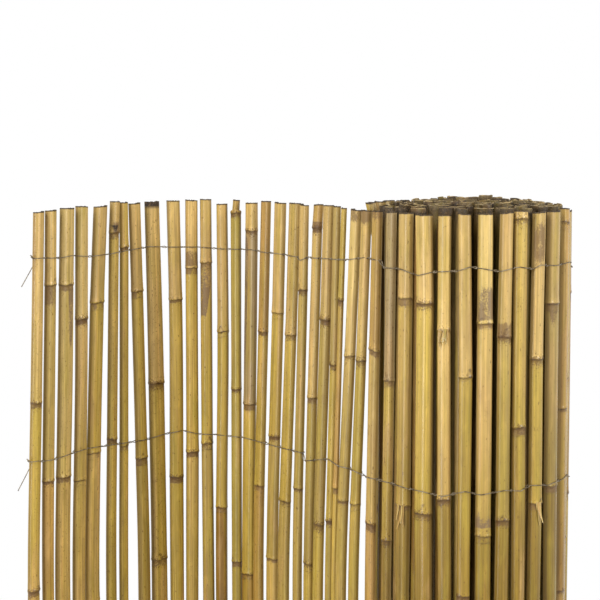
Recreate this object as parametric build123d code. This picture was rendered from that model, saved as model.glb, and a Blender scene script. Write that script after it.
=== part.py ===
from build123d import *
import os
from math import cos, floor, pi, radians, sin

# Split reed screening: half culms bound side by side with rows of wire.
# One end of the mat stands unrolled in a curve, the rest is still a roll that stands on end.
# Millimetres, +Z up, the origin on the floor at the axis of the roll, the viewer on the -Y side.

# Reeds
screen_height = 1000.0
reed_thickness = 7.5  # from the split back to the crest of a full reed
culm_sides = 10  # facets round a whole culm, of which a split one keeps half
culm_wall = 1.6
hollow_sides = 6  # facets round the hollow of a whole culm
node_swell = 0.6  # how far a node ring stands out from the culm
node_height = 5.0  # from the ring down to the plain culm below it
node_wall = 2.5  # partition left on each side of a ring, where the hollow is closed
sway_height = 400.0  # a reed leans over this much of its top, and stands plumb below

# Binding wire
wire_diameter = 1.2
wire_rows = 5
wire_margin = 60.0  # from the floor and from the top edge to the nearest row
front_clearance = 0.3  # over the node rings
back_clearance = 0.6  # behind the split backs
tail_length = 24.0
tail_slope = 45.0  # degrees below level
least_turn = 1.0e-6  # sine of the turn below which a strand runs on straight

# Roll
roll_radius = 106.0  # to the crests of the outer turn
mat_web = 0.9  # what joins the rolled reeds at their backs
turn_gap = 0.6
turn_sides = 22  # flats round the back of one turn, each about as wide as a reed
inner_sides = 6  # facets round a whole culm of the turns inside
core_radius = 13.0
open_turn = 335.0  # degrees of the outer turn that lie open to view

# Curve of the unrolled end, along the backs of its reeds
leave_angle = 62.0  # degrees left of the front, where the mat leaves the roll
straight_run = 284.0
arch_radius = 84.0
arch_turn = 119.0  # degrees

# The unrolled reeds, from the roll to the free end:
# width, gap before it, sway towards the free end, drop of its top, first node, node to node
reed_rows = [
    (14.0, 13.5, 12.0, 3.0, 143.0, 184.0),
    (14.0, 7.5, 26.0, 3.0, 158.0, 155.0),
    (15.0, 6.0, 33.0, 3.0, 156.0, 158.0),
    (8.0, 17.0, 21.0, 2.5, 98.0, 206.0),
    (11.0, 4.5, 18.0, 1.0, 171.0, 174.0),
    (15.5, 4.5, 25.0, 0.5, 124.0, 229.0),
    (14.0, 9.0, 24.0, 0.5, 25.0, 189.0),
    (13.5, 17.5, 18.0, 1.5, 95.0, 226.0),
    (19.0, 6.5, 30.0, 0.5, 149.0, 193.0),
    (20.0, 16.5, 23.0, 1.0, 126.0, 145.0),
    (17.0, 16.5, 23.0, 0.5, 152.0, 184.0),
    (18.0, 17.0, 8.0, 3.5, 32.0, 206.0),
    (13.0, 9.5, 0.0, 0.5, 15.0, 210.0),
    (13.0, 6.5, 2.0, 5.5, 152.0, 213.0),
    (13.0, 7.0, -1.0, 0.0, 75.0, 218.0),
    (14.0, 3.5, 1.0, 1.0, 80.0, 222.0),
    (15.5, 7.5, -2.0, 1.5, 117.0, 214.0),
    (19.5, 12.0, -7.0, 2.0, 215.0, 213.0),
    (17.0, 13.5, -13.0, 3.0, 102.0, 198.0),
    (12.0, 3.5, 7.0, 1.5, 51.0, 231.0),
    (13.5, 4.5, 14.0, 0.0, 35.0, 238.0),
    (19.5, 9.5, 22.0, 4.5, 108.0, 171.0),
    (16.5, 14.5, 12.0, 4.0, 125.0, 182.0),
    (20.0, 6.0, 16.0, 5.0, 84.0, 214.0),
    (14.5, 9.0, 14.0, 6.5, 81.0, 216.0),
    (14.0, 5.0, 19.0, 7.5, 207.0, 206.0),
]

# The reeds of the roll, from where the mat leaves it, again and again round its turns:
# width, gap before it
turn_rows = [
    (13.0, 2.0),
    (16.0, 9.5),
    (18.0, 5.5),
    (13.0, 6.5),
    (13.0, 9.5),
    (15.0, 8.0),
    (13.5, 7.0),
    (14.0, 4.5),
    (15.0, 7.5),
    (19.0, 7.5),
    (16.0, 12.0),
]

# Values that follow from the ones above
back_radius = roll_radius - reed_thickness
turn_pitch = reed_thickness + mat_web + turn_gap
half_turns = floor((back_radius - mat_web - core_radius) / (turn_pitch / 2.0))
flat_sag = back_radius * (1.0 - cos(pi / turn_sides))
inner_thickness = reed_thickness - flat_sag
roll_start = radians(270.0 - leave_angle)
arch_length = arch_radius * radians(arch_turn)
row_spacing = (screen_height - 2.0 * wire_margin) / (wire_rows - 1)
front_offset = reed_thickness + node_swell + front_clearance + wire_diameter / 2.0
back_offset = -(back_clearance + wire_diameter / 2.0)


def unit(angle):
    return Vector(cos(angle), sin(angle))


def left_of(direction):
    return Vector(-direction.Y, direction.X)


# A frame of the mat is a point on the line of the backs and the heading towards the free end.
# The crests face to the left of that heading.
def panel_frame(along):
    heading = roll_start - pi / 2.0
    start = unit(roll_start) * back_radius
    bend_start = start + unit(heading) * min(along, straight_run)
    centre = bend_start + left_of(unit(heading)) * arch_radius
    heading = heading + min(max(along - straight_run, 0.0), arch_length) / arch_radius
    bend_end = centre - left_of(unit(heading)) * arch_radius
    past = max(along - straight_run - arch_length, 0.0)
    return bend_end + unit(heading) * past, unit(heading)


# The turns follow half circles about two centres, so that each full turn comes in by one pitch.
def turn_frame(angle, level=0.0):
    half = floor(angle / pi)
    centre = unit(roll_start) * (-turn_pitch / 2.0 * (half % 2))
    outward = unit(roll_start + angle)
    point = centre + outward * (back_radius + level - half * turn_pitch / 2.0)
    return point, -left_of(outward)


def offset_from(frame, along, outward):
    point, heading = frame
    return point + heading * along + left_of(heading) * outward


# Outline of a split culm, from one edge over the flat of its crest to the other edge.
def split_outline(width, thickness, sides):
    corners = [2.0 * pi * step / sides for step in range(sides // 2 + 1)]
    crest = max(sin(corner) for corner in corners)
    return [(width / 2.0 * cos(corner), thickness * sin(corner) / crest) for corner in corners]


def thickness_of(width):
    return min(reed_thickness, width / 2.0)


def places_along(rows):
    places = []
    edge = 0.0
    for width, gap, *_ in rows:
        places.append(edge + gap + width / 2.0)
        edge = edge + gap + width
    return places


# The wires hold a leaning reed flat to the mat, so it turns with the curve as it moves along it.
def reed_frame(place, sway, height):
    return panel_frame(place + sway * min((screen_height - height) / sway_height, 1.0))


# A split culm swells to a ring at each node, and the hollow between two nodes is open at the back.
def reed(place, width, sway, drop, first_node, node_spacing):
    thickness = thickness_of(width)
    top = screen_height - drop
    ends = [top]
    while ends[-1] - node_spacing > node_height + node_wall or len(ends) == 1:
        ends.append(ends[-1] - (node_spacing if len(ends) > 1 else first_node))
    ends.append(0.0)

    def section(outline, height, scale=1.0):
        frame = reed_frame(place, sway, height)
        corners = [offset_from(frame, u * scale, v * scale) for u, v in outline]
        return Wire.make_polygon([Vector(c.X, c.Y, height) for c in corners], close=True)

    outside = split_outline(width, thickness, culm_sides)
    hollow = split_outline(width - 2.0 * culm_wall, thickness - culm_wall, hollow_sides)
    behind = [(u, -culm_wall) for u, v in (hollow[-1], hollow[0])]
    inside = hollow + behind
    ring_scale = 1.0 + node_swell / thickness
    sections = [section(outside, top)]
    for height in ends[1:-1]:
        sections.append(section(outside, height, ring_scale))
        sections.append(section(outside, height - node_height))
    sections.append(section(outside, 0.0))
    culm = Solid.make_loft(sections, ruled=True)

    hollows = []
    for upper, lower in zip(ends, ends[1:]):
        roof = upper if upper == top else upper - node_height - node_wall
        floor_height = lower if lower == 0.0 else lower + node_wall
        hollows.append(Solid.make_loft([section(inside, roof), section(inside, floor_height)], ruled=True))
    return culm.cut(*hollows)


# Angle and width of each reed in the roll: on the open turn widths and gaps are measured round the crests,
# on the turns inside along the backs.
def roll_ridges():
    ridges = []
    angle = 0.0
    while angle < half_turns * pi:
        width, gap = turn_rows[len(ridges) % len(turn_rows)]
        radius = roll_radius if is_open(angle) else back_radius - floor(angle / pi) * turn_pitch / 2.0
        ridges.append((angle + (gap + width / 2.0) / radius, width))
        angle = angle + (gap + width) / radius
    return ridges[:-1]


def is_open(angle):
    return angle < radians(open_turn)


# The rolled stretch is one strip wound on itself: a ridge for each reed, a web at their backs,
# and a narrow slot between the turns.
def rolled_turns(ridges):
    outer = [turn_frame(0.0)[0]]
    for angle, width in ridges:
        thickness = thickness_of(width) if is_open(angle) else min(inner_thickness, width / 2.0)
        outline = split_outline(width, thickness, culm_sides if is_open(angle) else inner_sides)
        outer.extend(offset_from(turn_frame(angle), u, v) for u, v in outline)
    outer.append(turn_frame(half_turns * pi)[0])
    corners = [2.0 * pi * flat / turn_sides for flat in range(half_turns * turn_sides // 2 + 1)]
    inner = [turn_frame(corner, -mat_web)[0] for corner in corners]
    strip = Face(Wire.make_polygon(outer + inner[::-1], close=True))
    return Solid.extrude(strip, Vector(0.0, 0.0, screen_height))


# Where the lines of two neighbouring reeds cross, a strand turns from one to the other.
def crossings(frames, outward):
    points = []
    for one, two in zip(frames, frames[1:]):
        start, goal = offset_from(one, 0.0, outward), offset_from(two, 0.0, outward)
        turn = one[1].X * two[1].Y - one[1].Y * two[1].X
        if abs(turn) > least_turn:
            reach = goal - start
            points.append(start + one[1] * ((reach.X * two[1].Y - reach.Y * two[1].X) / turn))
    return points


# A level ribbon of square section along a line of points, mitred at each turn.
def ribbon(points, width, height):
    sides = [(b - a).normalized() for a, b in zip(points, points[1:])]
    normals = [left_of(side) for side in sides]
    mitres = [normals[0]]
    mitres.extend((a + b) / (1.0 + a.dot(b)) for a, b in zip(normals, normals[1:]))
    mitres.append(normals[-1])
    left = [point + mitre * (width / 2.0) for point, mitre in zip(points, mitres)]
    right = [point - mitre * (width / 2.0) for point, mitre in zip(points, mitres)]
    corners = [Vector(p.X, p.Y, height - width / 2.0) for p in left + right[::-1]]
    face = Face(Wire.make_polygon(corners, close=True))
    return Solid.extrude(face, Vector(0.0, 0.0, width))


# One wire a row: along the backs, folded round the end reed, along the crests and round the roll.
def binding_wire(height, places, turns):
    panel = [reed_frame(place, row[2], height) for place, row in zip(places, reed_rows)]
    inward = panel[::-1] + turns
    first_width, last_width = reed_rows[0][0], reed_rows[-1][0]
    ring_reach = last_width / 2.0 * (1.0 + node_swell / thickness_of(last_width))
    fold = ring_reach + front_clearance + wire_diameter / 2.0
    path = [offset_from(panel[0], -first_width / 2.0, back_offset)]
    path.extend(crossings(panel, back_offset))
    path.append(offset_from(panel[-1], fold, back_offset))
    path.append(offset_from(panel[-1], fold, front_offset))
    path.extend(crossings(inward, front_offset))
    path.append(offset_from(turns[-1], 0.0, front_offset))
    strand = ribbon(path, wire_diameter, height)

    heading = panel[-1][1]
    drop = radians(tail_slope)
    down = Vector(heading.X * cos(drop), heading.Y * cos(drop), -sin(drop))
    root = offset_from(panel[-1], fold, front_offset)
    plane = Plane(origin=(root.X, root.Y, height), z_dir=down)
    tail = Solid.extrude(Face.make_rect(wire_diameter, wire_diameter, plane), down * tail_length)
    return strand.fuse(tail)


places = places_along(reed_rows)
ridges = roll_ridges()
turns = [turn_frame(angle) for angle, width in ridges if is_open(angle)]

built = {"rolled_turns": rolled_turns(ridges)}
for number, (place, row) in enumerate(zip(places, reed_rows), start=1):
    width, gap, sway, drop, first_node, node_spacing = row
    built[f"reed_{number:02d}"] = reed(place, width, sway, drop, first_node, node_spacing)
for row in range(wire_rows):
    height = screen_height - wire_margin - row * row_spacing
    built[f"binding_wire_{row + 1}"] = binding_wire(height, places, turns)

os.makedirs("parts", exist_ok=True)
for name, solid in built.items():
    export_step(solid, f"parts/{name}.step")
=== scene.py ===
from math import atan, cos, pi, radians, sin
import bpy
import numpy as np
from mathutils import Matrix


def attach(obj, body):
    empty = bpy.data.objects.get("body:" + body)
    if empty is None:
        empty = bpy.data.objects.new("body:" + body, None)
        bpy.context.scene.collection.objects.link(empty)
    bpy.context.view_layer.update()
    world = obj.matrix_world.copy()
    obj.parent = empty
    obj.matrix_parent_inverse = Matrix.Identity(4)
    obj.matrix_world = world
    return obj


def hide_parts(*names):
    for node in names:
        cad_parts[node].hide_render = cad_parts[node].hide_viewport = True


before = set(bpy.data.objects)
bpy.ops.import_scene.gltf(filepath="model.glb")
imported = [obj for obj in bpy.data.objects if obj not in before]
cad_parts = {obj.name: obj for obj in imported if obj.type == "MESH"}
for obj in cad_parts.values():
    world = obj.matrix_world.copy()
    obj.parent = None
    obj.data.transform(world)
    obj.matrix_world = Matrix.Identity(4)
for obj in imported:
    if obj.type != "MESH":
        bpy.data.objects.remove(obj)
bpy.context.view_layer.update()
mm = 0.001

# The line of the mat, as the part is built: a roll, a straight run and an arch.
matLine = {
    "height": 1.0,
    "thickness": 7.5 * mm,  # split back to crest
    "rollRadius": 106.0 * mm,  # crests of the outer turn
    "turnPitch": 9.0 * mm,
    "leaveAngle": radians(62.0),  # left of the front, where the mat leaves the roll
    "openTurn": radians(335.0),  # stretch of the outer turn that nothing covers
    "straightRun": 284.0 * mm,
    "archRadius": 84.0 * mm,
    "archTurn": radians(119.0),
    "leanHeight": 400.0 * mm,  # reeds lean over this much of their tops
    "leanEase": 14.0,
}
backRadius = matLine["rollRadius"] - matLine["thickness"]
rollStart = radians(270.0) - matLine["leaveAngle"]

# The photograph's camera: no turn to the side, a little nod down.
sight = {
    "place": (-0.1775, -1.776, 1.066),
    "nod": radians(5.267),
    "focal": 1700.0,  # pixels
    "image": 600.0,
    "sensor": 36.0,
}


def unit(angle):
    return np.stack([np.cos(angle), np.sin(angle)], -1)


def leftOf(direction):
    return np.stack([-direction[..., 1], direction[..., 0]], -1)


# Point on the line of the backs and heading to the free end: from the roll straight on, then round the arch.
def panelFrame(along):
    along = np.asarray(along, float)
    firstHeading = unit(np.asarray(rollStart - pi / 2))
    start = unit(np.asarray(rollStart)) * backRadius
    bend = start + firstHeading * np.minimum(along, matLine["straightRun"])[..., None]
    past = along - matLine["straightRun"]
    turned = np.clip(past / matLine["archRadius"], 0.0, matLine["archTurn"])
    heading = unit(rollStart - pi / 2 + turned)
    beyond = np.maximum(past - matLine["archTurn"] * matLine["archRadius"], 0.0)[..., None]
    centre = bend + leftOf(firstHeading) * matLine["archRadius"]
    return centre - leftOf(heading) * matLine["archRadius"] + heading * beyond, heading


# Point on the backs of the rolled mat: half circles about two centres in turn, each half a pitch smaller.
def turnFrame(angle):
    angle = np.asarray(angle, float)
    half = np.floor(angle / pi)
    centre = unit(np.asarray(rollStart)) * (-matLine["turnPitch"] / 2 * (half % 2))[..., None]
    outward = unit(rollStart + angle)
    reach = backRadius - half * matLine["turnPitch"] / 2
    return centre + outward * reach[..., None], -leftOf(outward)


# Height of a point that is seen at a row of the picture, when its distance in front of the camera is known.
def heightSeen(row, distance):
    slope = np.arctan((sight["image"] / 2 - row) / sight["focal"]) - sight["nod"]
    return sight["place"][2] + distance * np.tan(slope)


# Column of the picture at which a point is seen.
def columnSeen(point):
    reach = point - np.array(sight["place"])
    depth = reach[..., 1] * cos(sight["nod"]) - reach[..., 2] * sin(sight["nod"])
    return sight["image"] / 2 + sight["focal"] * reach[..., 0] / depth


# Quads between the rings of a closed tube, and a strip of quads over each end.
def tubeFaces(rings, around, first):
    ring = np.arange(around)
    start = (np.arange(rings - 1) * around)[:, None]
    after = np.roll(ring, -1)
    walls = np.stack([start + ring, start + after, start + around + after, start + around + ring], -1)
    half = np.arange(around // 2 - 1)
    foot = np.stack([half, around - 1 - half, around - 2 - half, half + 1], -1)
    head = foot[:, ::-1] + (rings - 1) * around
    return np.concatenate([walls.reshape(-1, 4), foot, head]) + first


# One mesh from several tubes, each a dictionary of points (rings, around, 3) and of values for the finish.
def makePiece(name, tubes, material, nodes, sharpAngle=50.0):
    counts = [tube["points"].shape for tube in tubes]
    firsts = np.cumsum([0] + [rings * around for rings, around, _ in counts])
    points = np.concatenate([tube["points"].reshape(-1, 3) for tube in tubes])
    faces = np.concatenate([tubeFaces(c[0], c[1], f) for c, f in zip(counts, firsts)])
    mesh = bpy.data.meshes.new(name)
    mesh.vertices.add(len(points))
    mesh.vertices.foreach_set("co", points.astype(np.float32).ravel())
    mesh.loops.add(faces.size)
    mesh.loops.foreach_set("vertex_index", faces.astype(np.int32).ravel())
    mesh.polygons.add(len(faces))
    mesh.polygons.foreach_set("loop_start", np.arange(0, faces.size, 4, dtype=np.int32))
    mesh.polygons.foreach_set("use_smooth", np.ones(len(faces), bool))
    for key in [key for key in tubes[0] if key != "points"]:
        values = np.concatenate([tube[key].reshape(-1, tube[key].shape[-1]) for tube in tubes])
        kind, field = ("FLOAT_COLOR", "color") if values.shape[1] == 4 else ("FLOAT_VECTOR", "vector")
        layer = mesh.attributes.new(key, kind, "POINT")
        layer.data.foreach_set(field, values.astype(np.float32).ravel())
    mesh.update(calc_edges=True)
    mesh.validate()
    mesh.set_sharp_from_angle(angle=radians(sharpAngle))
    mesh.materials.append(material)
    piece = bpy.data.objects.new(name, mesh)
    bpy.context.scene.collection.objects.link(piece)
    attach(piece, "root")
    if nodes:
        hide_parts(*nodes)
    return piece


# Linear colour from the three numbers that a colour picker shows.
def picked(red, green, blue):
    share = np.array([red, green, blue]) / 255.0
    return np.where(share <= 0.04045, share / 12.92, ((share + 0.055) / 1.055) ** 2.4)


def painted(red, green, blue):
    return (*picked(red, green, blue), 1.0)


reedTones = {
    "s": picked(207, 173, 104),  # straw
    "p": picked(217, 186, 114),  # pale
    "g": picked(197, 166, 82),  # golden
    "o": picked(184, 160, 84),  # olive
    "k": picked(184, 156, 88),  # khaki
    "b": picked(192, 153, 86),  # orange brown
    "v": picked(168, 144, 100),  # violet brown
    "d": picked(160, 122, 58),  # dark brown
    "h": picked(170, 141, 68),  # honey
}

reedSkin = {
    "olive": painted(172, 150, 58),
    "tan": painted(200, 160, 100),
    "rust": painted(172, 124, 64),
    # edge: painted shade at the reed's sides, partly the dark split edge
    "edge": painted(100, 74, 36),
    "ring": painted(74, 50, 26),
    "fleck": painted(92, 62, 30),
    "plum": painted(114, 91, 72),
    "band": painted(118, 90, 56),
    "pith": painted(206, 182, 128),
    "pithDark": painted(150, 118, 72),
    # the dark cut ends, and also painted shade on the upper sides of the reeds inside the roll
    "cut": painted(44, 33, 21),
    "cutPale": painted(120, 94, 60),
    "fibreScale": (700.0, 1.0, 9.0),  # per metre across, reed to reed, along
    "streakScale": (260.0, 1.0, 3.5),
    "cloudScale": (60.0, 1.0, 9.0),
    "grimeScale": (130.0, 1.0, 34.0),
    "fleckScale": (620.0, 1.0, 520.0),
    "speckScale": (420.0, 1.0, 170.0),
    "bumpDepth": 0.25 * mm,
}

wireSkin = {
    "steel": painted(146, 133, 108),
    "dull": painted(84, 70, 50),
    "spotScale": 260.0,
}


class Nodes:
    def __init__(self, name):
        self.material = bpy.data.materials.new(name)
        self.material.use_nodes = True
        self.tree = self.material.node_tree
        self.surface = self.tree.nodes["Principled BSDF"]

    def put(self, socket, value):
        if isinstance(value, bpy.types.NodeSocket):
            self.tree.links.new(value, socket)
        elif value is not None:
            socket.default_value = value

    def add(self, kind, out=0, settings=(), **inputs):
        node = self.tree.nodes.new(kind)
        for key, value in dict(settings).items():
            setattr(node, key, value)
        for key, value in inputs.items():
            self.put(node.inputs[key], value)
        return node.outputs[out]

    def attribute(self, name, out="Color"):
        return self.add("ShaderNodeAttribute", out, {"attribute_name": name})

    def stretched(self, vector, scale):
        node = self.tree.nodes.new("ShaderNodeVectorMath")
        node.operation = "MULTIPLY"
        self.put(node.inputs[0], vector)
        node.inputs[1].default_value = scale
        return node.outputs[0]

    def noise(self, vector, scale=1.0, detail=2.0, roughness=0.5, distortion=0.0):
        return self.add("ShaderNodeTexNoise", 0, (), Vector=vector, Scale=scale, Detail=detail,
                        Roughness=roughness, Distortion=distortion)

    def ranged(self, value, low, high, start=0.0, end=1.0):
        node = self.tree.nodes.new("ShaderNodeMapRange")
        node.interpolation_type = "SMOOTHSTEP"
        for socket, number in zip(node.inputs, (value, low, high, start, end)):
            self.put(socket, number)
        return node.outputs[0]

    def maths(self, operation, *values):
        node = self.tree.nodes.new("ShaderNodeMath")
        node.operation = operation
        node.use_clamp = operation != "SUBTRACT"
        for socket, value in zip(node.inputs, values):
            self.put(socket, value)
        return node.outputs[0]

    def mixed(self, factor, first, second, blend="MIX"):
        node = self.tree.nodes.new("ShaderNodeMix")
        node.data_type = "RGBA"
        node.blend_type = blend
        for index, value in ((0, factor), (6, first), (7, second)):
            self.put(node.inputs[index], value)
        return node.outputs[2]


# Skin of a reed: its own tone, fibres and streaks along it, olive clouds, rust streaks, flecks at the nodes,
# rings, stains, painted shade at its two sides that is partly the dark split edge, and the pith and cut ends
# where the split shows them.
def splitReedSkin():
    n = Nodes("splitReedSkin")
    look = reedSkin
    grain = n.attribute("grain", "Vector")
    marks = n.tree.nodes.new("ShaderNodeSeparateColor")
    n.put(marks.inputs[0], n.attribute("marks"))
    ring, stain, fleck = marks.outputs
    wood = n.tree.nodes.new("ShaderNodeSeparateColor")
    n.put(wood.inputs[0], n.attribute("wood"))
    pith, cut, band = wood.outputs
    # the alpha of marks is the painted shade at the reed's sides, partly the dark split edge
    edge = n.attribute("marks", "Alpha")
    fibre = n.noise(n.stretched(grain, look["fibreScale"]), detail=4.0, roughness=0.6)
    streak = n.noise(n.stretched(grain, look["streakScale"]), detail=3.0)
    cloud = n.noise(n.stretched(grain, look["cloudScale"]), detail=3.0, distortion=0.4)
    grime = n.noise(n.stretched(grain, look["grimeScale"]), detail=4.0, distortion=0.6)
    grit = n.noise(n.stretched(grain, look["fleckScale"]), detail=4.0, roughness=0.65)
    speck = n.noise(n.stretched(grain, look["speckScale"]), detail=2.0, roughness=0.6)

    colour = n.mixed(n.ranged(cloud, 0.46, 0.66, 0.0, 0.45), n.attribute("tone"), look["olive"])
    colour = n.mixed(n.ranged(cloud, 0.44, 0.28, 0.0, 0.50), colour, look["tan"])
    colour = n.mixed(n.ranged(streak, 0.56, 0.76, 0.0, 0.40), colour, look["rust"])
    colour = n.mixed(n.ranged(grime, 0.56, 0.78, 0.0, 0.25), colour, look["band"])
    colour = n.mixed(1.0, colour, n.ranged(grime, 0.55, 0.25, 0.94, 1.12), "MULTIPLY")
    colour = n.mixed(1.0, colour, n.ranged(fibre, 0.25, 0.75, 0.80, 1.14), "MULTIPLY")
    colour = n.mixed(1.0, colour, n.ranged(streak, 0.30, 0.60, 0.84, 1.08), "MULTIPLY")
    # painted shade: both sides of the reed darken to the edge colour, partly the dark split edge
    colour = n.mixed(n.maths("MULTIPLY", edge, 0.55), colour, look["edge"])
    blotch = n.maths("ADD", n.ranged(grime, 0.30, 0.70, 0.0, 0.55), n.ranged(grit, 0.30, 0.70, 0.0, 0.45))
    stained = n.maths("SUBTRACT", n.maths("MULTIPLY", stain, 1.3), blotch)
    colour = n.mixed(n.ranged(stained, 0.05, 0.55, 0.0, 0.80), colour, look["plum"])
    banded = n.maths("SUBTRACT", n.maths("MULTIPLY", band, 1.2), blotch)
    colour = n.mixed(n.ranged(banded, 0.05, 0.50, 0.0, 0.80), colour, look["band"])
    sparse = n.ranged(speck, 0.66, 0.73, 0.0, 0.60)
    colour = n.mixed(sparse, colour, look["fleck"])
    crowded = n.maths("ADD", n.maths("MULTIPLY", fleck, 0.30), n.maths("SUBTRACT", grit, 0.30))
    colour = n.mixed(n.ranged(crowded, 0.35, 0.44, 0.0, 0.7), colour, look["fleck"])
    ringEdge = n.maths("MULTIPLY", ring, n.ranged(grime, 0.35, 0.60, 0.6, 1.0))
    colour = n.mixed(ringEdge, colour, look["ring"])
    inside = n.mixed(n.ranged(fibre, 0.35, 0.70), look["pith"], look["pithDark"])
    colour = n.mixed(pith, colour, inside)
    # cut: the dark cut ends, and on the reeds inside the roll also painted shade towards their tops
    ends = n.mixed(n.ranged(grit, 0.50, 0.70), look["cut"], look["cutPale"])
    colour = n.mixed(cut, colour, ends)
    n.put(n.surface.inputs["Base Color"], colour)

    rough = n.ranged(fibre, 0.2, 0.8, 0.19, 0.31)
    soiled = n.maths("MULTIPLY", n.maths("MAXIMUM", stain, band), 0.5)
    worn = n.maths("MAXIMUM", n.maths("MAXIMUM", pith, cut), soiled)
    n.put(n.surface.inputs["Roughness"], n.maths("ADD", rough, n.maths("MULTIPLY", worn, 0.4)))
    pitted = n.maths("MULTIPLY", grit, n.ranged(fleck, 0.0, 1.0, 0.1, 0.5))
    relief = n.maths("ADD", n.maths("MULTIPLY", fibre, 0.45), pitted)
    bump = n.add("ShaderNodeBump", 0, (), Strength=0.30, Distance=look["bumpDepth"], Height=relief)
    n.put(n.surface.inputs["Normal"], bump)
    n.surface.inputs["Specular IOR Level"].default_value = 0.36
    return n.material


# Galvanised wire gone dull in spots.
def dullWireSkin():
    n = Nodes("dullGalvanisedWire")
    place = n.add("ShaderNodeTexCoord", "Object")
    spots = n.noise(place, wireSkin["spotScale"], detail=3.0)
    colour = n.mixed(n.ranged(spots, 0.35, 0.65), wireSkin["steel"], wireSkin["dull"])
    n.put(n.surface.inputs["Base Color"], colour)
    n.put(n.surface.inputs["Roughness"], n.ranged(spots, 0.3, 0.7, 0.36, 0.62))
    n.surface.inputs["Metallic"].default_value = 0.25
    bump = n.add("ShaderNodeBump", 0, (), Strength=0.2, Distance=0.1 * mm, Height=spots)
    n.put(n.surface.inputs["Normal"], bump)
    return n.material


reedFinish = splitReedSkin()
wireFinish = dullWireSkin()
print("finishes made")

# The unrolled reeds from the roll to the free end: width, gap before it, sway to the free end, drop of the
# top, first node below the top and node to node, all in mm, then the tones between nodes from the top.
panelRows = [
    (14.0, 13.5, 12.0, 3.0, 143.0, 184.0, "bsb"),
    (14.0, 7.5, 26.0, 3.0, 158.0, 155.0, "sgg"),
    (15.0, 6.0, 33.0, 3.0, 156.0, 158.0, "pkk"),
    (8.0, 17.0, 21.0, 2.5, 98.0, 206.0, "gbg"),
    (11.0, 4.5, 18.0, 1.0, 171.0, 174.0, "kgk"),
    (15.5, 4.5, 25.0, 0.5, 124.0, 229.0, "skg"),
    (14.0, 9.0, 24.0, 0.5, 25.0, 189.0, "bskg"),
    (13.5, 17.5, 18.0, 1.5, 95.0, 226.0, "skk"),
    (19.0, 6.5, 30.0, 0.5, 149.0, 193.0, "sgk"),
    (20.0, 16.5, 23.0, 1.0, 126.0, 145.0, "sgk"),
    (17.0, 16.5, 23.0, 0.5, 152.0, 184.0, "bgb"),
    (18.0, 17.0, 8.0, 3.5, 32.0, 206.0, "svgd"),
    (13.0, 9.5, 0.0, 0.5, 15.0, 210.0, "booo"),
    (13.0, 6.5, 2.0, 5.5, 152.0, 213.0, "sgd"),
    (13.0, 7.0, -1.0, 0.0, 75.0, 218.0, "sgk"),
    (14.0, 3.5, 1.0, 1.0, 80.0, 222.0, "sgk"),
    (15.5, 7.5, -2.0, 1.5, 117.0, 214.0, "sgg"),
    (19.5, 12.0, -7.0, 2.0, 215.0, 213.0, "sgg"),
    (17.0, 13.5, -13.0, 3.0, 102.0, 198.0, "sgk"),
    (12.0, 3.5, 7.0, 1.5, 51.0, 231.0, "ggg"),
    (13.5, 4.5, 14.0, 0.0, 35.0, 238.0, "sgg"),
    (19.5, 9.5, 22.0, 4.5, 108.0, 171.0, "sgs"),
    (16.5, 14.5, 12.0, 4.0, 125.0, 182.0, "pss"),
    (20.0, 6.0, 16.0, 5.0, 84.0, 214.0, "pps"),
    (14.5, 9.0, 14.0, 6.5, 81.0, 216.0, "skb"),
    (14.0, 5.0, 19.0, 7.5, 207.0, 206.0, "sgg"),
]

# The reeds of the outer turn, again and again round the roll: width, gap before it, lean to the left,
# drop of the top, first node, node to node, tones.
turnRows = [
    (13.0, 2.0, 8.0, 3.0, 172.0, 167.0, "vgh"),
    (16.0, 9.5, 5.0, 3.5, 85.0, 212.0, "sgh"),
    (18.0, 5.5, -1.0, 4.5, 88.0, 213.0, "sgh"),
    (13.0, 6.5, -4.0, 4.5, 114.0, 171.0, "ssh"),
    (13.0, 9.5, -1.5, 3.0, 162.0, 222.0, "sgh"),
    (15.0, 8.0, 0.0, 3.0, 108.0, 214.0, "psh"),
    (13.5, 7.0, 1.0, 2.0, 123.0, 185.0, "skh"),
    (14.0, 4.5, 0.0, 0.5, 7.0, 209.0, "sgh"),
    (15.0, 7.5, 1.0, 2.0, 147.0, 147.0, "sgh"),
    (19.0, 7.5, -3.0, 1.5, 93.0, 187.0, "skh"),
    (16.0, 12.0, 0.0, 0.0, 14.0, 191.0, "bbb"),
]

# Stains that the picture shows: row of the panel, kind, start and length below the top in mm,
# middle and half width across the reed (-1 to the roll, 1 to the free end), narrowing over its length.
panelStains = [
    (1, "band", 0.0, 10.0, 0.0, 2.0, 0.0),
    (2, "band", 0.0, 14.0, 0.0, 2.0, 0.0),
    (3, "band", 0.0, 11.0, 0.0, 2.0, 0.0),
    (7, "band", 18.0, 14.0, 0.0, 2.0, 0.0),
    (12, "stain", 33.0, 185.0, 0.5, 0.75, 0.3),
    (15, "stain", 74.0, 72.0, 0.4, 1.9, 1.4),
    (16, "band", 62.0, 18.0, 0.0, 2.0, 0.0),
    (18, "cut", 0.0, 8.0, 0.0, 2.0, 0.0),
    (21, "cut", 27.0, 8.0, 0.4, 0.7, 0.5),
    (21, "band", 24.0, 14.0, 0.2, 0.9, 0.2),
    (24, "stain", 86.0, 75.0, -0.2, 0.6, 0.3),
    (25, "band", 82.0, 22.0, 0.0, 2.0, 0.0),
]
turnStains = [
    (6, "stain", 74.0, 34.0, 0.0, 2.0, 0.0),
    (6, "stain", 292.0, 24.0, 0.2, 1.2, -0.6),
    (9, "band", 4.0, 44.0, 0.2, 1.0, 0.1),
    (10, "band", 92.0, 18.0, 0.4, 0.8, 0.3),
    (7, "band", 112.0, 14.0, 0.0, 2.0, 0.0),
]

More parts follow.
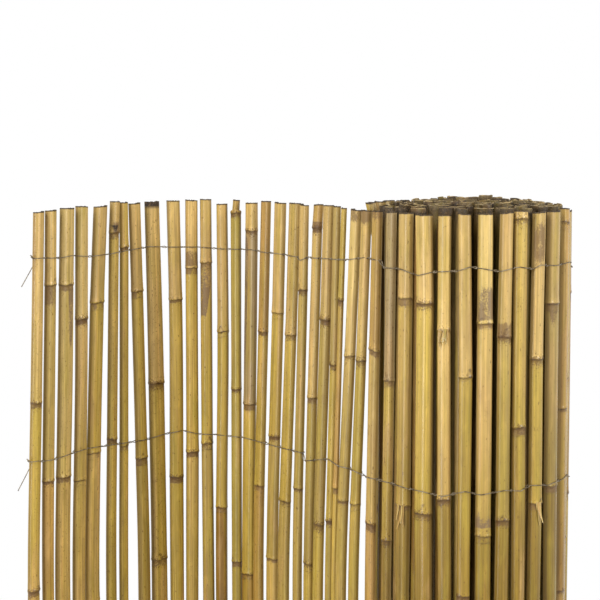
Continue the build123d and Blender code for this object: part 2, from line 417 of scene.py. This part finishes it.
splitReed = {
    "wall": 1.5 * mm,
    "facets": 20,  # round the half culm
    "step": 9.0 * mm,
    "crown": 0.75,  # below one, the crest is flatter than an ellipse
    "lowShadeAndTint": (0.89, 0.87, 0.66),  # painted shade and tint: how much darker a reed is lower down, where less light falls, and yellower there, as the blue drops most
    "nodeSwell": 0.6 * mm,
    "kink": 0.7 * mm,  # sideways step of a stretch at a node
    "endBevel": 0.3 * mm,
    "endTilt": 1.4 * mm,
    "bowHeight": 0.83,
    "bowReach": 0.15,
    "panelFullness": (1.04, 0.06),  # width at the top, and what is added lower down
    "slimFullness": (1.0, 0.0),
    "slim": (4, 5, 11, 12, 13),  # reeds that lie close to their neighbours
    "bows": {24: 1.8, 23: 2.6, 18: 1.4, 17: 1.6, 14: 2.6},  # mm to the roll
    "stubs": {13: 0.6},  # a reed that is thinner above its top node
}
nodeSteps = np.array([0.5, 1.2, 2.0, 3.2, 4.5, 6.0, 7.5, 9.0]) * mm
nodeSteps = np.concatenate([[-11.0 * mm], -nodeSteps[::-1], [0.0], nodeSteps])  # rings about a node


def bell(distance, width):
    return np.exp(-((distance / width) ** 2))


# Heights of the rings of a culm: even steps, closer ones about each node, and the two ends.
def culmHeights(top, nodes, step):
    even = np.linspace(0.0, top, int(top / step))
    close = (nodes[:, None] + nodeSteps).ravel()
    ends = np.array([0.0, 2.0, top / mm - 5.0, top / mm - 1.5, top / mm - 1.0, top / mm]) * mm
    heights = np.unique(np.round(np.concatenate([even, close, ends]).clip(0.0, top), 5))
    return np.concatenate([heights[:1], heights, heights[-1:]])


# A split culm: half an ellipse that swells at each node, hollow at the back with a partition at each node.
# Rings are stacked up its height, and frameAt places each ring on the line of the mat.
def culmPoints(culm, frameAt, form, fullness, bow, stub):
    rng, heights, away, turn = culm["rng"], culm["heights"], culm["away"], culm["turn"]
    nodes, top, width = culm["nodes"], culm["top"], culm["width"]
    swell = bell(away, 1.6 * mm) + 0.45 * bell(away - 4.0 * mm, 5.0 * mm)
    swell = swell - 0.35 * bell(away + 3.0 * mm, 1.6 * mm)
    swell = (swell * rng.uniform(0.6, 1.15, len(nodes))).sum(1) * splitReed["nodeSwell"]
    share = heights / matLine["height"]
    descent = np.minimum((matLine["height"] - heights) / matLine["leanHeight"], 1.0)
    size = fullness[0] + fullness[1] * descent
    size = size + 0.015 * np.sin(2 * pi * (share * rng.uniform(1.5, 4.0) + rng.uniform()))
    size = np.where(heights > nodes[0] + 2.0 * mm, size * stub, size)
    bevel = np.zeros(len(heights))
    bevel[[0, -1]] = splitReed["endBevel"]
    thick = min(matLine["thickness"], width / 2)
    halfWidth = width / 2 * size + 0.8 * swell - bevel
    depth = thick * (1.0 + 0.015 * np.sin(11.0 * share + culm["seed"])) + swell - bevel
    wall = splitReed["wall"] - 2 * bevel
    opened = 1.0 - bell(np.abs(away + 1.5 * mm).min(1), 2.4 * mm)
    innerHalf = halfWidth - wall
    innerDepth = np.maximum(depth - wall, 0.5 * mm) * (0.06 + 0.94 * opened)
    arch = np.sin(turn).clip(0.0, 1.0) ** form["crown"]
    ribs = 1.0 + 0.012 * np.sin(turn * rng.integers(3, 6) + rng.uniform(0, 6))
    across = np.concatenate([halfWidth[:, None] * np.cos(turn), innerHalf[:, None] * np.cos(turn[::-1])], 1)
    outward = np.concatenate([depth[:, None] * arch * ribs, innerDepth[:, None] * arch[::-1]], 1)

    kinks = rng.normal(0.0, splitReed["kink"], len(nodes) + 2).clip(-1.0 * mm, 1.0 * mm)
    corners = np.concatenate([[0.0], nodes[::-1], [top]])
    bowed = bow * mm * bell(heights - splitReed["bowHeight"], splitReed["bowReach"])
    place, heading = frameAt(heights, np.interp(heights, corners, kinks) - bowed)
    flat = place[:, None] + heading[:, None] * across[..., None]
    flat = flat + leftOf(heading)[:, None] * outward[..., None]
    tilt = rng.uniform(-1.0, 1.0) * splitReed["endTilt"]
    around = 2 * len(turn)
    jag = rng.normal(0.0, 0.35 * mm, around) * np.sin(np.linspace(0, 2 * pi, around)) ** 2
    nearTop = np.clip(1.0 - (top - heights) / (4.0 * mm), 0.0, 1.0)[:, None]
    upright = heights[:, None] + nearTop * (tilt * across / width + jag)
    return np.concatenate([flat, upright[..., None]], -1)


# Tone of a culm: one for each stretch between nodes, paler below a node with a painted highlight just above
# it, and darker lower down, painted shade with a yellower tint.
def culmTone(culm, tones, lowShadeAndTint):
    rng, heights, away, nodes = culm["rng"], culm["heights"], culm["away"], culm["nodes"]
    codes = (tones + "".join(rng.choice(list("sgksgp"), 8)))[: len(nodes) + 1]
    palette = np.array([reedTones[code] for code in codes])
    stretch = (heights[:, None] < nodes).sum(1)
    tone = palette[stretch] * rng.uniform(0.90, 1.08) * rng.uniform(0.94, 1.06, len(codes))[stretch, None]
    above = np.where(away < 0, away, -1.0).max(1)  # to the node above, as a negative length
    # the narrow rise just above each node is a painted highlight on the node's swelling; the broad one below
    # each node is the reed's own paler tone
    lifted = 1.0 + 0.06 * bell(above + 40.0 * mm, 45.0 * mm) + 0.14 * bell(away - 2.5 * mm, 2.0 * mm).sum(1)
    # painted shade below 0.86 m, where less light falls, with a yellower tint there
    lowShadeShare = np.clip((0.86 - heights) / 0.26, 0.0, 1.0)[:, None]
    toneGrid = np.ones((len(heights), 2 * len(culm["turn"]), 4))
    toneGrid[..., :3] = (tone * lifted[:, None] * (1.0 - lowShadeShare * (1.0 - np.array(lowShadeAndTint))))[:, None]
    return toneGrid


# Marks of a culm, as shares. In marks: ring, stain, fleck and edge, the painted shade at the sides that is
# partly the dark split edge. In wood: pith, cut end and band.
# Lines, scars and buds are bell curves about a node, and its line is drawn unevenly with two sines.
def culmMarks(culm, stains):
    rng, heights, away, turn = culm["rng"], culm["heights"], culm["away"], culm["turn"]
    top, count = culm["top"], len(culm["nodes"])
    side = np.concatenate([np.cos(turn), np.cos(turn[::-1])])
    sideways = side[:, None]
    outside = np.repeat([1.0, 0.0], len(turn))
    marks = np.zeros((len(heights), len(side), 4))
    wood = np.zeros((len(heights), len(side), 4))
    reach = rng.uniform(2.5, 8.0, count) * mm
    phases = rng.uniform(0.0, 2 * pi, (2, count))
    ragged = rng.normal(0.0, 0.7, count) * sideways + 0.4 * np.sin(4.0 * sideways + phases[0])
    ragged = ragged + 0.25 * np.sin(9.0 * sideways + phases[1])
    drawn = away[:, None] + ragged * mm  # from each node's line to each point
    line = bell(drawn + 0.9 * mm, 0.75 * mm) * rng.uniform(0.75, 1.0, count)
    line = line + bell(drawn + 0.9 * mm + reach, 0.7 * mm) * rng.uniform(0.1, 0.7, count)
    scarSide = rng.uniform(-0.7, 0.7, count)
    upScar = away[:, None] / (rng.uniform(4.0, 9.0, count) * mm)
    lean = 0.5 * (1.0 - upScar)
    scar = bell(sideways - scarSide + lean, 0.12) * rng.uniform(0.0, 1.0, count)
    scar = scar + bell(sideways - scarSide - lean, 0.12) * rng.uniform(0.0, 1.0, count)
    scar = scar * (upScar > -0.1) * (upScar < 1.05) * (rng.uniform(size=count) < 0.35)
    budded = rng.uniform(size=count) < 0.45
    bud = bell(sideways - rng.uniform(-0.8, 0.8, count), 0.17) * bell(drawn + 0.6 * mm, 1.7 * mm) * budded
    marks[..., 0] = (line + scar + bud).sum(2) * outside
    below = np.clip(-drawn / (1.0 * mm), 0.0, 1.0) * np.clip((reach + drawn) / (1.5 * mm) + 1.0, 0.0, 1.0)
    wood[..., 2] = (below * rng.uniform(0.35, 1.0, count)).sum(2) * outside
    flecks = (bell(drawn + 2.0 * mm, 6.0 * mm) * rng.uniform(0.2, 0.9, count)).sum(2)
    marks[..., 2] = (flecks + rng.uniform(0.0, 0.22)) * outside
    # edge: painted shade towards both sides of the reed, partly the dark split edge
    marks[..., 3] = np.clip((np.abs(side) - 0.70) / 0.30, 0.0, 1.0) ** 1.5 * outside

    layers = {"stain": (marks, 1), "band": (wood, 2), "cut": (wood, 1)}
    for _, kind, start, length, middle, half, narrowing in stains:
        along = (top - heights - start * mm) / (length * mm)
        inRange = np.clip(along / 0.06, 0.0, 1.0) * np.clip((1.0 - along) / 0.15, 0.0, 1.0)
        reachAcross = half - narrowing * np.clip(along, 0.0, 1.0)
        inReach = np.clip((reachAcross[:, None] - np.abs(side - middle)) / 0.25, 0.0, 1.0)
        grid, channel = layers[kind]
        grid[..., channel] = np.maximum(grid[..., channel], inRange[:, None] * inReach * outside)
    split = 1.0 - outside
    split[[0, len(turn) - 1]] = 0.45
    wood[..., 0] = split
    wood[[0, -1], :, 0] = 0.0
    wood[[0, -1], :, 1] = 1.0
    wood[[1, -2], :, 1] = np.maximum(wood[[1, -2], :, 1], 0.75)
    wood[..., 1] = np.maximum(wood[..., 1], 0.95 * (top - heights < 1.1 * mm)[:, None])
    wood[..., 3] = 1.0
    return marks.clip(0.0, 1.0), wood.clip(0.0, 1.0)


# One reed from a row of the lists above: its rings, tone and marks, and the place of each point in the grain.
def splitCulm(frameAt, row, stains, seed, form, fullness, bow=0.0, stub=1.0):
    width, _, _, drop, firstNode, nodeStep, tones = row
    top = matLine["height"] - drop * mm
    nodes = np.arange(top - firstNode * mm, 8.0 * mm, -nodeStep * mm)
    heights = culmHeights(top, nodes, form["step"])
    turn = np.linspace(0.0, pi, form["facets"] + 1)
    culm = {
        "rng": np.random.default_rng(seed),
        "seed": seed,
        "width": width * mm,
        "top": top,
        "nodes": nodes,
        "heights": heights,
        "away": heights[:, None] - nodes,
        "turn": turn,
    }
    points = culmPoints(culm, frameAt, form, fullness, bow, stub)
    tone = culmTone(culm, tones, form["lowShadeAndTint"])
    marks, wood = culmMarks(culm, stains)
    grain = np.zeros(points.shape)
    grain[..., 0] = np.concatenate([turn, 2 * pi - turn[::-1]]) * culm["width"] / 2
    grain[..., 1] = seed * 7.3
    grain[..., 2] = heights[:, None]
    return {"points": points, "tone": tone, "marks": marks, "wood": wood, "grain": grain}


# Middles of the reeds along the mat: the widths and gaps before each, added up.
def placesAlong(rows):
    widths = np.array([row[0] for row in rows]) * mm
    gaps = np.array([row[1] for row in rows]) * mm
    return np.cumsum(widths + gaps) - widths / 2


# Lean of a reed at a height: in step with the way down from the top, easing to a stop at the end of the lean.
def leanAt(heights, sway):
    share = (matLine["height"] - heights) / matLine["leanHeight"]
    ease = matLine["leanEase"]
    return sway * mm * (share - np.log1p(np.exp(ease * (share - 1.0))) / ease)


panelPlaces = placesAlong(panelRows)
for number, (place, row) in enumerate(zip(panelPlaces, panelRows), start=1):
    stains = [mark for mark in panelStains if mark[0] == number]
    culm = splitCulm(
        lambda heights, aside: panelFrame(place + leanAt(heights, row[2]) + aside),
        row, stains, 100 + number, splitReed,
        splitReed["slimFullness" if number in splitReed["slim"] else "panelFullness"],
        splitReed["bows"].get(number, 0.0), splitReed["stubs"].get(number, 1.0),
    )
    makePiece(f"splitReed_{number:02d}", [culm], reedFinish, [f"reed_{number:02d}"])
print("unrolled reeds made", len(panelRows))

# The outer turn of the roll, and the turns inside it.
rolledReeds = {
    "facets": 10,
    "step": 20.0 * mm,
    "crown": 0.62,
    # painted shade and tint: the reeds of the roll darken strongly lower down, where less light falls, and
    # turn more golden
    "lowShadeAndTint": (0.60, 0.55, 0.30),
    "innerFacets": 6,
    "halfTurns": 18,
    "leftFrom": radians(225.0),
    "leftDrop": -4.0,  # reeds behind the unrolled stretch stand higher than it
    "leftSpread": 0.12,  # and their tops lean out, as a share of the radius
    "spreadFrom": 0.90,
    "husks": ((2, 1, 6, 26.0), (4, 0, 7, 18.0), (9, 1, 4, 34.0)),  # reed, node, shreds, length in mm
    "fullness": (1.0, 0.04),
    "rise": 10.0 * mm,  # how far the middle stands above the outer turn
    "riseSpread": 0.7 * mm,
}


# Angle and row of each reed in the roll: widths and gaps are measured round the crests of the open turn,
# and along the backs of the turns inside.
def rolledPlaces():
    places = []
    angle = 0.0
    while angle < rolledReeds["halfTurns"] * pi:
        row = turnRows[len(places) % len(turnRows)]
        inside = backRadius - np.floor(angle / pi) * matLine["turnPitch"] / 2
        radius = matLine["rollRadius"] if angle < matLine["openTurn"] else inside
        places.append((angle + (row[1] + row[0] / 2) * mm / radius, row))
        angle = angle + (row[0] + row[1]) * mm / radius
    return places[:-1]


rolled = rolledPlaces()
openRows = [row for angle, row in rolled if angle < matLine["openTurn"]]
openAngles = np.array([angle for angle, row in rolled if angle < matLine["openTurn"]])
outerTurn = []

# Frame of a rolled reed: its lean goes round the roll, and its top goes out with the square of the way up.
def rolledFrame(angle, sway, spread, heights, aside):
    place, heading = turnFrame(angle - (leanAt(heights, sway) + aside) / matLine["rollRadius"])
    first = rolledReeds["spreadFrom"]
    way = ((heights - first) / (matLine["height"] - first)).clip(0.0, 1.1)
    return place * (1.0 + spread * way**2)[:, None], heading


for number, (angle, row) in enumerate(zip(openAngles, openRows), start=1):
    stains = [mark for mark in turnStains if mark[0] == number]
    spread = rolledReeds["leftSpread"] if angle > rolledReeds["leftFrom"] else 0.0
    if number > len(turnRows):
        drop = rolledReeds["leftDrop"] if angle > rolledReeds["leftFrom"] else row[3]
        tones = "".join(np.random.default_rng(number).choice(list("sgkgpb"), 3))
        row = (*row[:3], drop, *row[4:6], tones)
    outerTurn.append(splitCulm(
        lambda heights, aside: rolledFrame(angle, row[2], spread, heights, aside),
        row, stains, 200 + number, rolledReeds, rolledReeds["fullness"],
    ))


# Shreds of husk that hang from a node: flat strips that slide down the crest and curl away from it.
def huskShreds(number, node, count, length):
    angle, row = openAngles[number - 1], openRows[number - 1]
    rng = np.random.default_rng(700 + number)
    height = matLine["height"] - (row[3] + row[4] + node * row[5]) * mm
    share = np.linspace(0.0, 1.0, 8)
    shreds = []
    for _ in range(count):
        start, drift = rng.uniform(-0.8, 0.8), rng.normal(0.0, 3.0 * mm)
        long = length * mm * rng.uniform(0.4, 1.0)
        across = start * row[0] / 2 * mm + drift * share
        crest = min(matLine["thickness"], row[0] / 2 * mm) * (1.0 - start**2) ** (rolledReeds["crown"] / 2)
        outward = crest + 0.5 * mm + rng.uniform(0.5, 4.0) * mm * share**2
        z = height + 1.0 * mm - long * share
        place, heading = turnFrame(angle - leanAt(z, row[2]) / matLine["rollRadius"])
        line = place + heading * across[:, None] + leftOf(heading) * outward[:, None]
        half = rng.uniform(0.7, 1.8) * mm * (1.0 - 0.75 * share**1.5)
        sides = np.array([[1.0, 0.1], [0.0, 0.25], [-1.0, 0.1], [0.0, -0.1]])
        ring = sides[None, :, :1] * half[:, None, None] * heading[:, None]
        ring = ring + sides[None, :, 1:] * mm * leftOf(heading)[:, None]
        points = np.concatenate([line[:, None] + ring, np.broadcast_to(z[:, None, None], (8, 4, 1))], -1)
        tone = np.ones((8, 4, 4))
        tone[..., :3] = reedTones[rng.choice(list("pbk"))] * rng.uniform(0.7, 1.0)
        blank = np.zeros((8, 4, 4))
        grain = np.stack([points[..., 0], np.full((8, 4), 90.0 + number), points[..., 2]], -1)
        shreds.append({"points": points[::-1], "tone": tone, "marks": blank, "wood": blank, "grain": grain})
    return shreds


for number, node, count, length in rolledReeds["husks"]:
    outerTurn.extend(huskShreds(number, node, count, length))
makePiece("outerTurnReeds", outerTurn, reedFinish, ["rolled_turns"])
print("outer turn made", len(outerTurn))


# The reeds inside the roll: plain split culms on the spiral with uneven cut ends, dark at the foot and pale
# on top. Painted shade darkens each of them, and darkens it more towards its top with the dark cut-end
# colour, for the shade between the packed reeds.
def innerReeds():
    rng = np.random.default_rng(31)
    inside = [(angle, row[0] * mm) for angle, row in rolled if angle >= matLine["openTurn"]]
    facets = rolledReeds["innerFacets"]
    turn = np.linspace(0.0, pi, facets + 1)
    tubes = []
    for number, (angle, width) in enumerate(inside):
        thick = min(matLine["thickness"], width / 2) * rng.uniform(0.9, 1.0)
        deep = angle / (rolledReeds["halfTurns"] * pi)
        lifted = rolledReeds["rise"] * deep**0.8
        top = matLine["height"] + lifted + rng.normal(0.0, rolledReeds["riseSpread"])
        heights = np.array([0.0, 0.0, 0.35, 0.7, top - 22.0 * mm, top - 5.0 * mm, top - 0.3 * mm, top])
        bevel = np.array([1.0, 0.0, 0.0, 0.0, 0.0, 0.0, 0.0, 1.0]) * splitReed["endBevel"]
        halfWidth, wall = width / 2 - bevel, splitReed["wall"] - 2 * bevel
        across = np.concatenate([halfWidth[:, None] * np.cos(turn),
                                 (halfWidth - wall)[:, None] * np.cos(turn[::-1])], 1)
        outward = np.concatenate([(thick - bevel)[:, None] * np.sin(turn),
                                  (thick - bevel - wall)[:, None] * np.sin(turn[::-1])], 1)
        twist = rng.normal(0.0, 0.10)
        place, heading = turnFrame(angle + rng.normal(0.0, 0.6 * mm, len(heights)) / backRadius)
        turned = across * cos(twist) - outward * sin(twist), across * sin(twist) + outward * cos(twist)
        flat = (place[:, None] + heading[:, None] * turned[0][..., None]
                + leftOf(heading)[:, None] * turned[1][..., None])
        jag = rng.normal(0.0, 0.2 * mm, across.shape[1]) + rng.normal(0.0, 1.2 * mm) * across[0] / width
        upright = heights[:, None] + (heights > 0.95)[:, None] * jag
        shape = across.shape
        tone = np.ones((*shape, 4))
        # painted shade: each inner reed's tone is darkened to 35 to 65 %, for the shade inside the roll
        tone[..., :3] = reedTones[rng.choice(list("sgkbd"))] * rng.uniform(0.35, 0.65)
        marks = np.zeros((*shape, 4))
        wood = np.zeros((*shape, 4))
        marks[..., 2] = 0.2
        wood[:, facets + 1:, 0] = 1.0
        # the foot is the dark cut end; higher up, the sides take the same colour as painted shade between the
        # packed reeds, most just below the pale top face
        wood[[0, -3], :, 1] = rng.uniform(0.8, 1.0)
        wood[-2, :, 1] = rng.uniform(0.45, 1.0)
        wood[-4, :, 1] = 0.3
        wood[-1, :, 0] = 1.0
        wood[..., 3] = 1.0
        grain = np.zeros((*shape, 3))
        grain[..., 0] = np.concatenate([turn, 2 * pi - turn[::-1]]) * width / 2
        grain[..., 1] = (300 + number) * 7.3
        grain[..., 2] = upright
        points = np.concatenate([flat, upright[..., None]], -1)
        tubes.append({"points": points, "tone": tone, "marks": marks, "wood": wood, "grain": grain})
    return tubes


inner = innerReeds()
makePiece("innerTurnReeds", inner, reedFinish, ["rolled_turns"])
print("inner turns made", len(inner))

# Rows of wire: where the picture shows the two upper rows, in pixels, and the heights of all rows.
bindingWire = {
    "radius": 0.5 * mm,
    "heights": (0.94, 0.72, 0.50, 0.28, 0.06),
    "sides": 6,
    "samples": 16,  # from one reed to the next
    "lift": 0.5 * mm,  # over the crest
    "twistRadius": 0.9 * mm,
    "twistLevel": 0.5,  # share of the reed's thickness where the strands twist together
    "seen": (
        ((30, 260), (43, 258), (60, 258), (73, 255.5), (90, 256.5), (110, 254), (130, 250),
         (150, 246.5), (168, 247), (198, 247), (222, 249), (250, 249.5), (262, 252), (280, 254),
         (297, 257), (300, 260.5), (307, 257.5), (330, 259), (345, 260), (365, 257.5), (380, 261),
         (383, 267.5), (400, 269), (418, 275.5), (433, 272), (458, 271), (470, 267), (485, 269),
         (500, 271.5), (520, 267), (533, 269), (541, 265), (557, 265.5), (570, 262)),
        ((30, 458.5), (41, 461.5), (55, 459.5), (72, 453.5), (88, 448.5), (104, 446), (128, 442.5),
         (145, 440), (165, 434), (183, 430.5), (198, 434), (214, 434.5), (243, 437.5), (262, 442.5),
         (280, 447.5), (302, 453), (304, 461), (328, 459), (338, 466), (350, 469), (366, 477),
         (390, 483), (405, 488), (424, 492), (442, 496.5), (465, 491.5), (481, 495), (505, 490.5),
         (521, 491), (529, 485.5), (548, 485), (563, 479), (571, 471)),
    ),
    "tail": (16.0 * mm, 18.0 * mm),  # reach past the end reed and fall
    "wave": 2.5 * mm,
}


# A round tube along a line of points: a ring square to the line at each point.
def roundTube(line, radius, sides):
    tangent = np.gradient(line, axis=0)
    tangent = tangent / np.linalg.norm(tangent, axis=1, keepdims=True)
    level = np.cross(tangent, np.array([0.0, 0.0, 1.0]))
    level = level / np.linalg.norm(level, axis=1, keepdims=True)
    rise = np.cross(level, tangent)
    turn = np.arange(sides) * 2 * pi / sides
    ring = level[:, None] * np.cos(turn)[:, None] + rise[:, None] * np.sin(turn)[:, None]
    return {"points": line[:, None] + ring * np.broadcast_to(radius, len(line))[:, None, None]}


# Two strands: one over the crests, one along the backs, wound round each other in each gap.
# The front strand lies over the reeds' own curve, dips into each gap, and its height follows the picture.
def wireRow(number, rowHeight):
    rng = np.random.default_rng(500 + number)
    panelAt = panelPlaces + leanAt(rowHeight, np.array([row[2] for row in panelRows]))
    panelWidths = np.array([row[0] for row in panelRows]) * mm
    openWidths = np.array([row[0] for row in openRows]) * mm
    openAt = leanAt(rowHeight, np.array([row[2] for row in openRows])) - openAngles * matLine["rollRadius"]
    centres = np.concatenate([panelAt[::-1], openAt])
    widths = np.concatenate([panelWidths[::-1], openWidths])
    edges = (centres[:-1] - widths[:-1] / 2 + centres[1:] + widths[1:] / 2) / 2
    knots = np.empty(2 * len(centres) - 1)
    knots[0::2], knots[1::2] = centres, edges
    steps = np.arange(0.0, len(centres) - 1 + 1e-9, 1.0 / bindingWire["samples"])
    along = np.interp(steps, np.arange(len(knots)) / 2, knots)
    panelPoint, panelHeading = panelFrame(np.maximum(along, 0.0))
    rollPoint, rollHeading = turnFrame(np.maximum(-along, 0.0) / matLine["rollRadius"])
    onPanel = (along > 0.0)[:, None]
    point, heading = np.where(onPanel, panelPoint, rollPoint), np.where(onPanel, panelHeading, rollHeading)
    normal = leftOf(heading)

    near = np.rint(steps).astype(int)
    crown = np.where(near < len(panelRows), splitReed["crown"], rolledReeds["crown"])
    thick = np.minimum(matLine["thickness"], widths / 2)[near]
    aside = np.abs(along - centres[near]) / (widths[near] / 2 * 1.05)
    surface = thick * (1.0 - np.minimum(aside, 1.0) ** 2) ** (crown / 2)
    inGap = np.clip((aside - 0.95) / 0.3, 0.0, 1.0)
    gapLevel = thick * bindingWire["twistLevel"] * inGap
    soften = np.array([0.25, 0.5, 0.25])
    front = np.convolve(np.pad(np.maximum(surface, gapLevel), 1, "edge"), soften, "valid")
    front = front + bindingWire["radius"] + bindingWire["lift"]
    back = gapLevel - (bindingWire["radius"] + bindingWire["lift"]) * (1.0 - inGap)
    wave = np.interp(steps, np.arange(len(centres)), rng.normal(0.0, 1.0, len(centres))) * bindingWire["wave"]
    rise = rowHeight + wave
    if number <= len(bindingWire["seen"]):
        columns, rows = np.array(bindingWire["seen"][number - 1]).T
        crest = np.concatenate([point + normal * front[:, None], np.full((len(point), 1), rowHeight)], 1)
        row = np.interp(columnSeen(crest), columns, rows)
        shown = heightSeen(row, crest[:, 1] - sight["place"][1])
        facing = np.clip(-normal[:, 1] / 0.3, 0.0, 1.0)
        rise = rise + facing * (shown - rise)
    phase = 4 * pi * steps + rng.uniform(0, 6, len(centres))[np.floor(steps).astype(int)]
    strands = []
    for level, sign in ((front, 1.0), (back, -1.0)):
        depth = level + sign * inGap * bindingWire["twistRadius"] * np.cos(phase)
        height = rise + sign * inGap * bindingWire["twistRadius"] * np.sin(phase)
        strands.append(np.concatenate([point + normal * depth[:, None], height[:, None]], 1))
    return strands, heading[0], normal[0]


# Ends at the free edge: the front strand folds round the end reed, and a tail slopes down past it.
def wireEnds(strands, heading, normal):
    front, back = strands
    out, face = np.append(heading, 0.0), np.append(normal, 0.0)
    up = np.array([0.0, 0.0, 1.0])
    reach = panelRows[-1][0] / 2 * mm
    turn = np.linspace(0.0, pi, 9)[1:-1]
    middle = (front[0] + back[0]) / 2 + out * reach * 0.55
    swing = (front[0] - back[0]) / 2
    fold = middle + swing * np.cos(turn)[:, None] + out * (reach * 0.75) * np.sin(turn)[:, None]
    loop = np.concatenate([back[:1], fold[::-1], front])
    tailReach, tailFall = bindingWire["tail"]
    share = np.linspace(0.0, 1.0, 14)[:, None]
    start = back[0] - up * 4.0 * mm + out * reach * 0.2
    edge = start + out * reach * 0.95 - up * 8.0 * mm
    tip = edge + out * tailReach - up * tailFall
    tail = (1 - share) ** 2 * start + 2 * share * (1 - share) * edge + share**2 * tip
    knotTurn = np.linspace(0.0, 5 * pi, 40)
    along = np.linspace(0.0, 1.0, 40)[:, None]
    base = middle + out * reach * 0.9
    spun = base + out * 3.5 * mm * along + up * (3.0 * mm * along + 0.8 * mm * np.sin(knotTurn)[:, None])
    spun = spun + face * 0.8 * mm * np.cos(knotTurn)[:, None]
    return loop, tail, spun


for number, rowHeight in enumerate(bindingWire["heights"], start=1):
    strands, heading, normal = wireRow(number, rowHeight)
    loop, tail, spun = wireEnds(strands, heading, normal)
    lines = [loop, strands[1], tail, spun]
    tubes = [roundTube(line, bindingWire["radius"], bindingWire["sides"]) for line in lines]
    makePiece(f"twistedWire_{number}", tubes, wireFinish, [f"binding_wire_{number}"], 80.0)
print("wires made", len(bindingWire["heights"]))

# Pale floor that fades to white away from the object.
studio = {
    "floorRadius": 1.2,
    "floorMiddle": (-0.15, 0.0),
    "floor": painted(236, 234, 230),
    "ambient": 0.42,
    "key": ((-1.2, -1.7, 2.5), (0.7, 1.3), 34.0),
    "strip": ((-1.45, -1.4, 0.95), (0.14, 1.7), 14.0),  # low and tall, for the shine along the reeds
    "fill": ((2.4, -1.8, 1.7), (1.6, 1.6), 56.0),
    "aim": (-0.12, 0.0, 0.90),
}


def studioFloor():
    share = np.linspace(0.0, 1.0, 9)[1:]
    turn = np.arange(48) * 2 * pi / 48
    ring = unit(turn) * studio["floorRadius"]
    flat = (share[:, None, None] * ring[None]).reshape(-1, 2) + np.array(studio["floorMiddle"])
    points = np.concatenate([flat, np.zeros((len(flat), 1))], 1)
    middle = np.append(np.array(studio["floorMiddle"]), 0.0)[None]
    points = np.concatenate([points, middle])
    start = (np.arange(7) * 48)[:, None]
    after = np.roll(np.arange(48), -1)
    here = np.arange(48)
    rings = np.stack([start + here, start + 48 + here, start + 48 + after, start + after], -1)
    hub = np.stack([here, after, np.full(48, len(points) - 1)], -1)
    mesh = bpy.data.meshes.new("studioFloor")
    mesh.from_pydata(points.tolist(), [], rings.reshape(-1, 4).tolist() + hub.tolist())
    mesh.update()
    n = Nodes("paleFloor")
    place = n.add("ShaderNodeTexCoord", "Object")
    spread = n.tree.nodes.new("ShaderNodeVectorMath")
    spread.operation = "DISTANCE"
    n.put(spread.inputs[0], place)
    spread.inputs[1].default_value = (*studio["floorMiddle"], 0.0)
    fade = n.ranged(spread.outputs["Value"], 0.62, 1.15)
    grainy = n.noise(place, 30.0, detail=3.0)
    colour = n.mixed(n.ranged(grainy, 0.3, 0.7, 0.0, 0.06), studio["floor"], painted(205, 202, 196))
    n.put(n.surface.inputs["Base Color"], colour)
    n.surface.inputs["Roughness"].default_value = 0.85
    glow = n.add("ShaderNodeEmission", 0, (), Color=(1.0, 1.0, 1.0, 1.0), Strength=1.0)
    mix = n.tree.nodes.new("ShaderNodeMixShader")
    n.put(mix.inputs[0], fade)
    n.put(mix.inputs[1], n.surface.outputs[0])
    n.put(mix.inputs[2], glow)
    n.put(n.tree.nodes["Material Output"].inputs["Surface"], mix.outputs[0])
    mesh.materials.append(n.material)
    floor = bpy.data.objects.new("studioFloor", mesh)
    bpy.context.scene.collection.objects.link(floor)


def aimed(item, target):
    reach = np.array(target) - np.array(item.location)
    pitch = atan(reach[2] / np.hypot(reach[0], reach[1]))
    item.rotation_euler = (pi / 2 + pitch, 0.0, np.arctan2(-reach[0], reach[1]))


def softLight(name):
    place, (wide, tall), power = studio[name]
    lamp = bpy.data.lights.new(name + "Light", "AREA")
    lamp.shape = "RECTANGLE"
    lamp.size, lamp.size_y = wide, tall
    lamp.energy = power
    item = bpy.data.objects.new(name + "Light", lamp)
    item.location = place
    bpy.context.scene.collection.objects.link(item)
    aimed(item, studio["aim"])


def whiteSurround():
    world = bpy.data.worlds.new("whiteSurround")
    bpy.context.scene.world = world
    world.use_nodes = True
    tree = world.node_tree
    ambient = tree.nodes["Background"]
    ambient.inputs["Color"].default_value = (1.0, 1.0, 1.0, 1.0)
    ambient.inputs["Strength"].default_value = studio["ambient"]
    white = tree.nodes.new("ShaderNodeBackground")
    rays = tree.nodes.new("ShaderNodeLightPath")
    seen = rays.outputs["Is Camera Ray"]
    for name in ("Is Glossy Ray", "Is Transmission Ray"):
        either = tree.nodes.new("ShaderNodeMath")
        either.operation = "MAXIMUM"
        tree.links.new(seen, either.inputs[0])
        tree.links.new(rays.outputs[name], either.inputs[1])
        seen = either.outputs[0]
    mix = tree.nodes.new("ShaderNodeMixShader")
    tree.links.new(seen, mix.inputs[0])
    tree.links.new(ambient.outputs[0], mix.inputs[1])
    tree.links.new(white.outputs[0], mix.inputs[2])
    white.inputs["Color"].default_value = (1.0, 1.0, 1.0, 1.0)
    tree.links.new(mix.outputs[0], tree.nodes["World Output"].inputs["Surface"])


studioFloor()
softLight("key")
softLight("strip")
softLight("fill")
whiteSurround()

cameraData = bpy.data.cameras.new("sightCamera")
cameraData.sensor_width = sight["sensor"]
cameraData.lens = sight["focal"] / sight["image"] * sight["sensor"]
camera = bpy.data.objects.new("sightCamera", cameraData)
camera.location = sight["place"]
camera.rotation_euler = (pi / 2 - sight["nod"], 0.0, 0.0)
bpy.context.scene.collection.objects.link(camera)
bpy.context.scene.camera = camera
bpy.context.scene.view_settings.view_transform = "Standard"
print("studio made")
